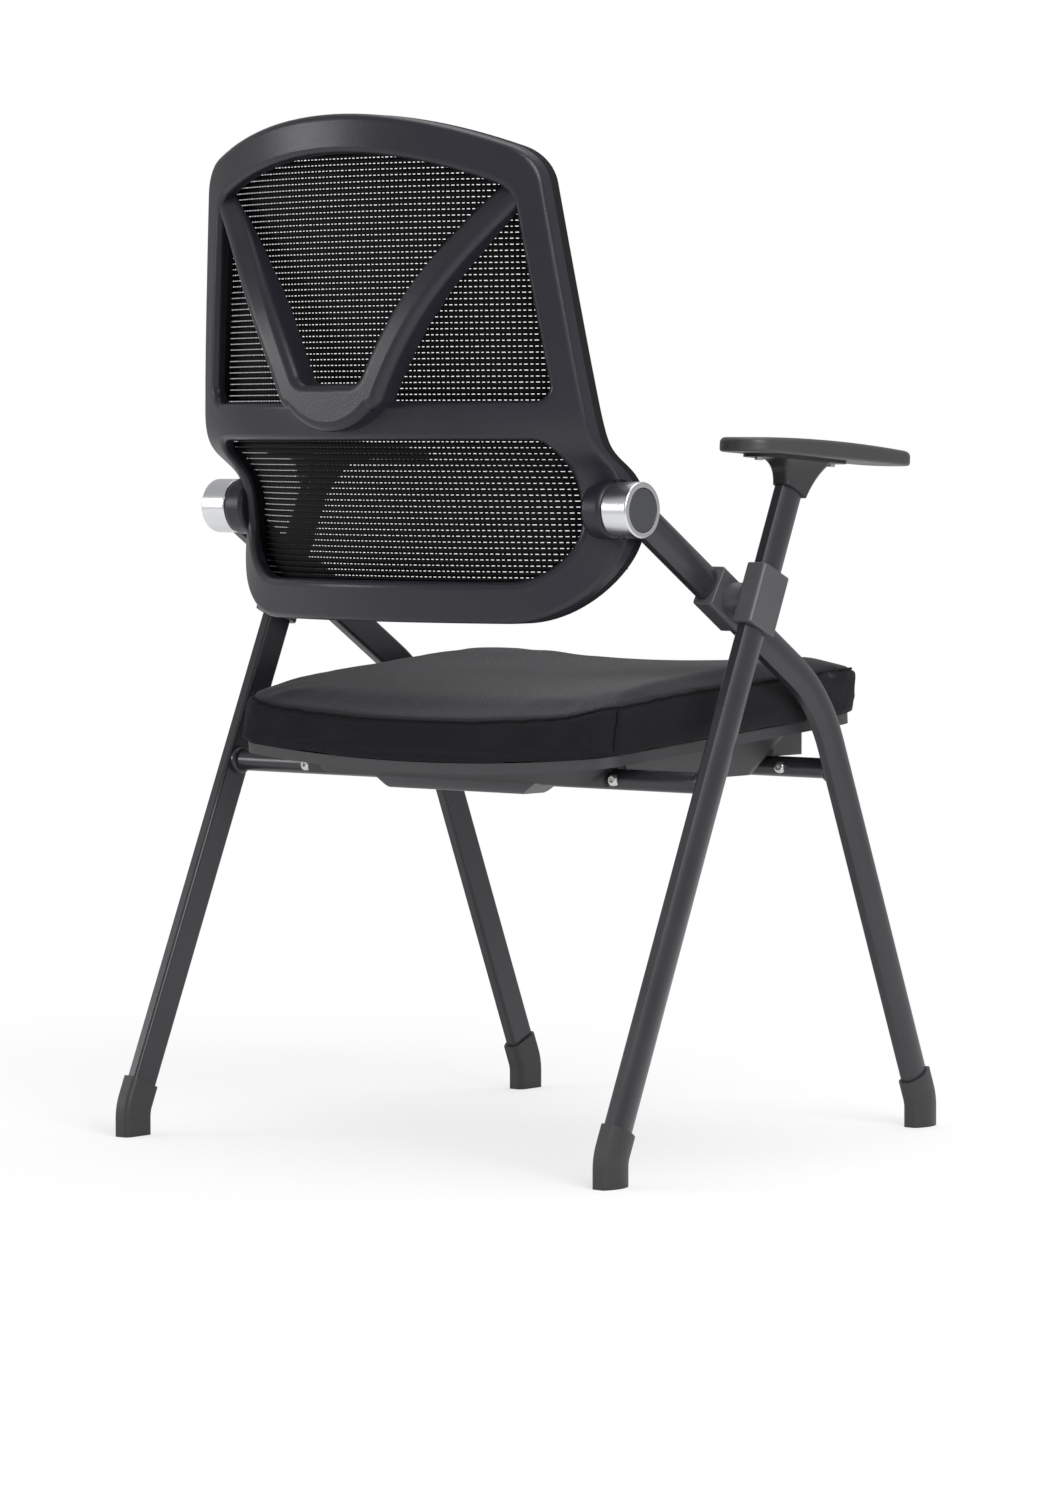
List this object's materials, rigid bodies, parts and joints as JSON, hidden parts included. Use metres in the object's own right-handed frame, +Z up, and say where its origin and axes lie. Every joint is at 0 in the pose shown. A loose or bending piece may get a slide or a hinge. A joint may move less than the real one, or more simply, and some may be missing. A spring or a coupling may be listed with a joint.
{
  "type": "folding training chair",
  "caption": "Folding training chair with armrests: crossed tube legs, flip-up padded seat and a sprung mesh back held in round hubs.",
  "frame": {"origin": "on the floor, under the middle of the chair's box", "axes": "+Z up, the sitter faces -Y, +X to the sitter's left"},
  "size_m": [0.636, 0.5919, 0.938],
  "materials": {
    "frame_paint": "satin black powder coat",
    "foot_rubber": "matt black",
    "sleeve_plastic": "fine grain black",
    "arm_plastic": "soft-touch black",
    "zinc": "bright zinc plate",
    "hub_aluminium": "polished",
    "cap_metal": "dark grey, radial brushed",
    "bush_rubber": "matt black",
    "seat_fabric": "black woven cloth",
    "seat_wood": "bare plywood",
    "shell_plastic": "fine grain dark grey",
    "back_plastic": "fine grain black",
    "mesh_fabric": "black open mesh"
  },
  "bodies": {
    "front_frame": {"front_leg_left": "frame_paint", "front_leg_right": "frame_paint", "front_cross_tube": "frame_paint", "front_tube_collars": "frame_paint", "front_foot_left": "foot_rubber", "front_foot_right": "foot_rubber", "front_stop_bolts": "zinc", "inner_sleeve_left": "sleeve_plastic", "inner_sleeve_right": "sleeve_plastic", "pivot_barrels": "zinc", "pivot_bolts": "zinc", "pivot_washers": "zinc", "hub_barrel_left": "hub_aluminium", "hub_barrel_right": "hub_aluminium", "hub_cap_left": "cap_metal", "hub_cap_right": "cap_metal", "hub_bush_left": "bush_rubber", "hub_bush_right": "bush_rubber"},
    "rear_frame": {"rear_leg_left": "frame_paint", "rear_leg_right": "frame_paint", "rear_cross_tube": "frame_paint", "rear_tube_collars": "frame_paint", "rear_foot_left": "foot_rubber", "rear_foot_right": "foot_rubber", "rear_stop_bolts": "zinc", "outer_sleeve_left": "sleeve_plastic", "outer_sleeve_right": "sleeve_plastic", "arm_bracket_left": "arm_plastic", "arm_bracket_right": "arm_plastic", "arm_pad_left": "arm_plastic", "arm_pad_right": "arm_plastic", "arm_screws": "zinc"},
    "seat": {"seat_cushion": "seat_fabric", "seat_board": "seat_wood", "seat_undershell": "shell_plastic", "front_rests": "shell_plastic", "seat_screws": "zinc", "seat_hinge_clamp": "shell_plastic", "clamp_screws": "zinc"},
    "backrest": {"back_frame": "back_plastic", "mesh_carrier": "back_plastic", "back_mesh": "mesh_fabric", "hub_axle_left": "zinc", "hub_axle_right": "zinc"}
  },
  "joints": [
    {"name": "frame_fold", "type": "hinge", "parent": "front_frame", "child": "rear_frame", "pos_m": [0, 0.03315, 0.5065], "axis": [-1, 0, 0], "range_deg": [0, 50]},
    {"name": "seat_flip", "type": "hinge", "parent": "rear_frame", "child": "seat", "pos_m": [0, 0.10472, 0.345], "axis": [-1, 0, 0], "range_deg": [0, 55]},
    {"name": "back_tilt", "type": "hinge", "parent": "front_frame", "child": "backrest", "pos_m": [0, 0.16064, 0.58741], "axis": [-1, 0, 0], "range_deg": [0, 12], "stiffness_Nm_per_rad": 60, "springref_deg": -4.58}
  ]
}
